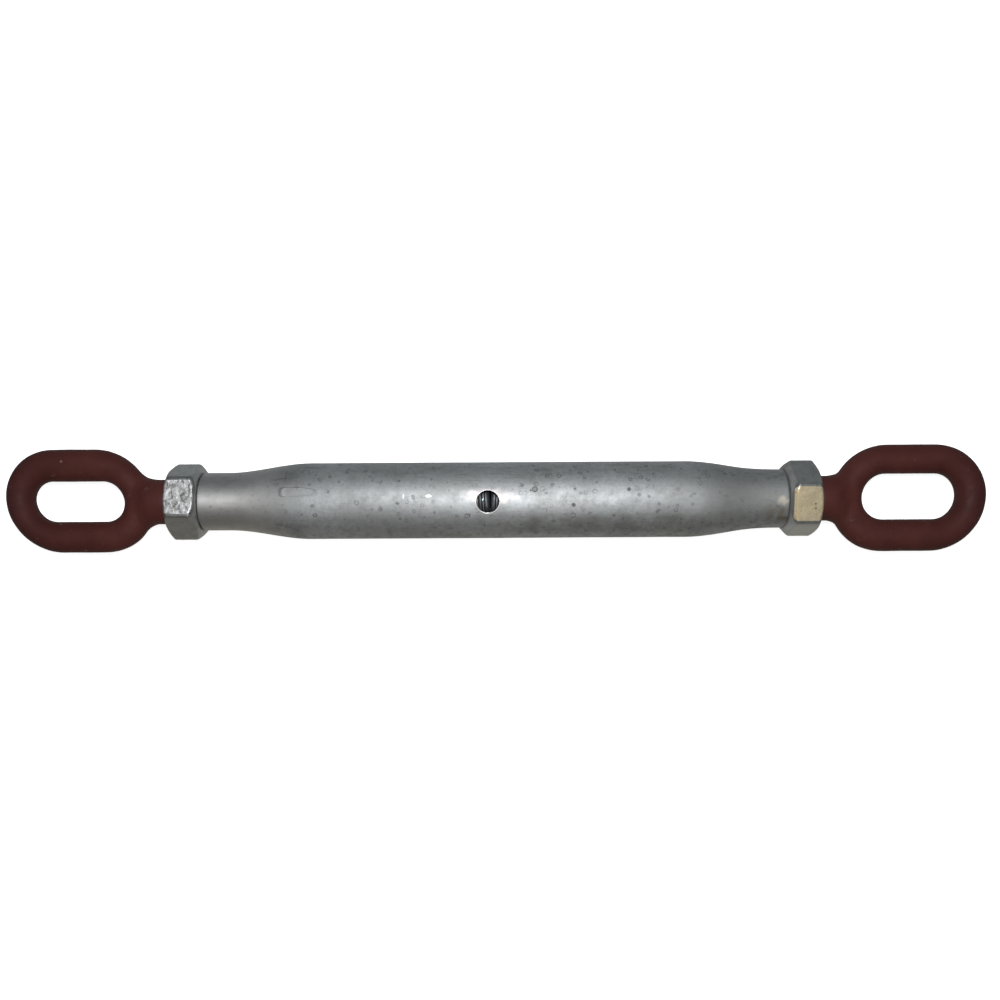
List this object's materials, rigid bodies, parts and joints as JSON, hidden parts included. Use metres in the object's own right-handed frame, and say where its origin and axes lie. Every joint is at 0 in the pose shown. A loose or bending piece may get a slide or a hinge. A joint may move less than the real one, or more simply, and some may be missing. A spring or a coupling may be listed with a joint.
{
  "type": "rigging turnbuckle",
  "caption": "Closed pipe-body turnbuckle with a lock nut and an oval eye on a threaded stud at each end, for tensioning a rigging line.",
  "frame": {"origin": "midway between the far ends of the two eyes when closed, on the pipe's axis; the pipe's own middle is 1 mm towards -X", "axes": "+X along the pipe towards the left-hand-threaded end, +Y across the eyes in their own plane, +Z out of the plane of the eyes"},
  "size_m": [0.434, 0.0474, 0.0338],
  "materials": {
    "pipe_body": "satin galvanised, dull and slightly mottled",
    "left_nut": "rough hot-dip galvanised",
    "right_nut": "rough galvanised, yellowed on the flats",
    "studs": "bare cut thread, slightly oily",
    "eyes": "satin red-oxide primer",
    "welds": "red-oxide primer over a weld bead"
  },
  "bodies": {
    "body": {"pipe_body": "pipe_body"},
    "left_nut": {"left_lock_nut": "left_nut"},
    "left_eye": {"left_stud": "studs", "left_eye_ring": "eyes", "left_weld": "welds"},
    "right_nut": {"right_lock_nut": "right_nut"},
    "right_eye": {"right_stud": "studs", "right_eye_ring": "eyes", "right_weld": "welds"}
  },
  "joints": [
    {"name": "left_eye_turn", "type": "hinge", "parent": "body", "child": "left_nut", "pos_m": [-0.136, 0, 0], "axis": [-1, 0, 0], "range_deg": [0, 14400]},
    {"name": "left_eye_travel", "type": "slide", "parent": "left_nut", "child": "left_eye", "axis": [-1, 0, 0], "range_m": [0, 0.1]},
    {"name": "right_eye_turn", "type": "hinge", "parent": "body", "child": "right_nut", "pos_m": [0.134, 0, 0], "axis": [-1, 0, 0], "range_deg": [0, 14400]},
    {"name": "right_eye_travel", "type": "slide", "parent": "right_nut", "child": "right_eye", "axis": [1, 0, 0], "range_m": [0, 0.1]}
  ],
  "couplings": [
    {"joint": "left_eye_travel", "follows": "left_eye_turn", "m_per_rad": 0.00039789},
    {"joint": "right_eye_turn", "follows": "left_eye_turn", "ratio": 1},
    {"joint": "right_eye_travel", "follows": "left_eye_turn", "m_per_rad": 0.00039789}
  ]
}
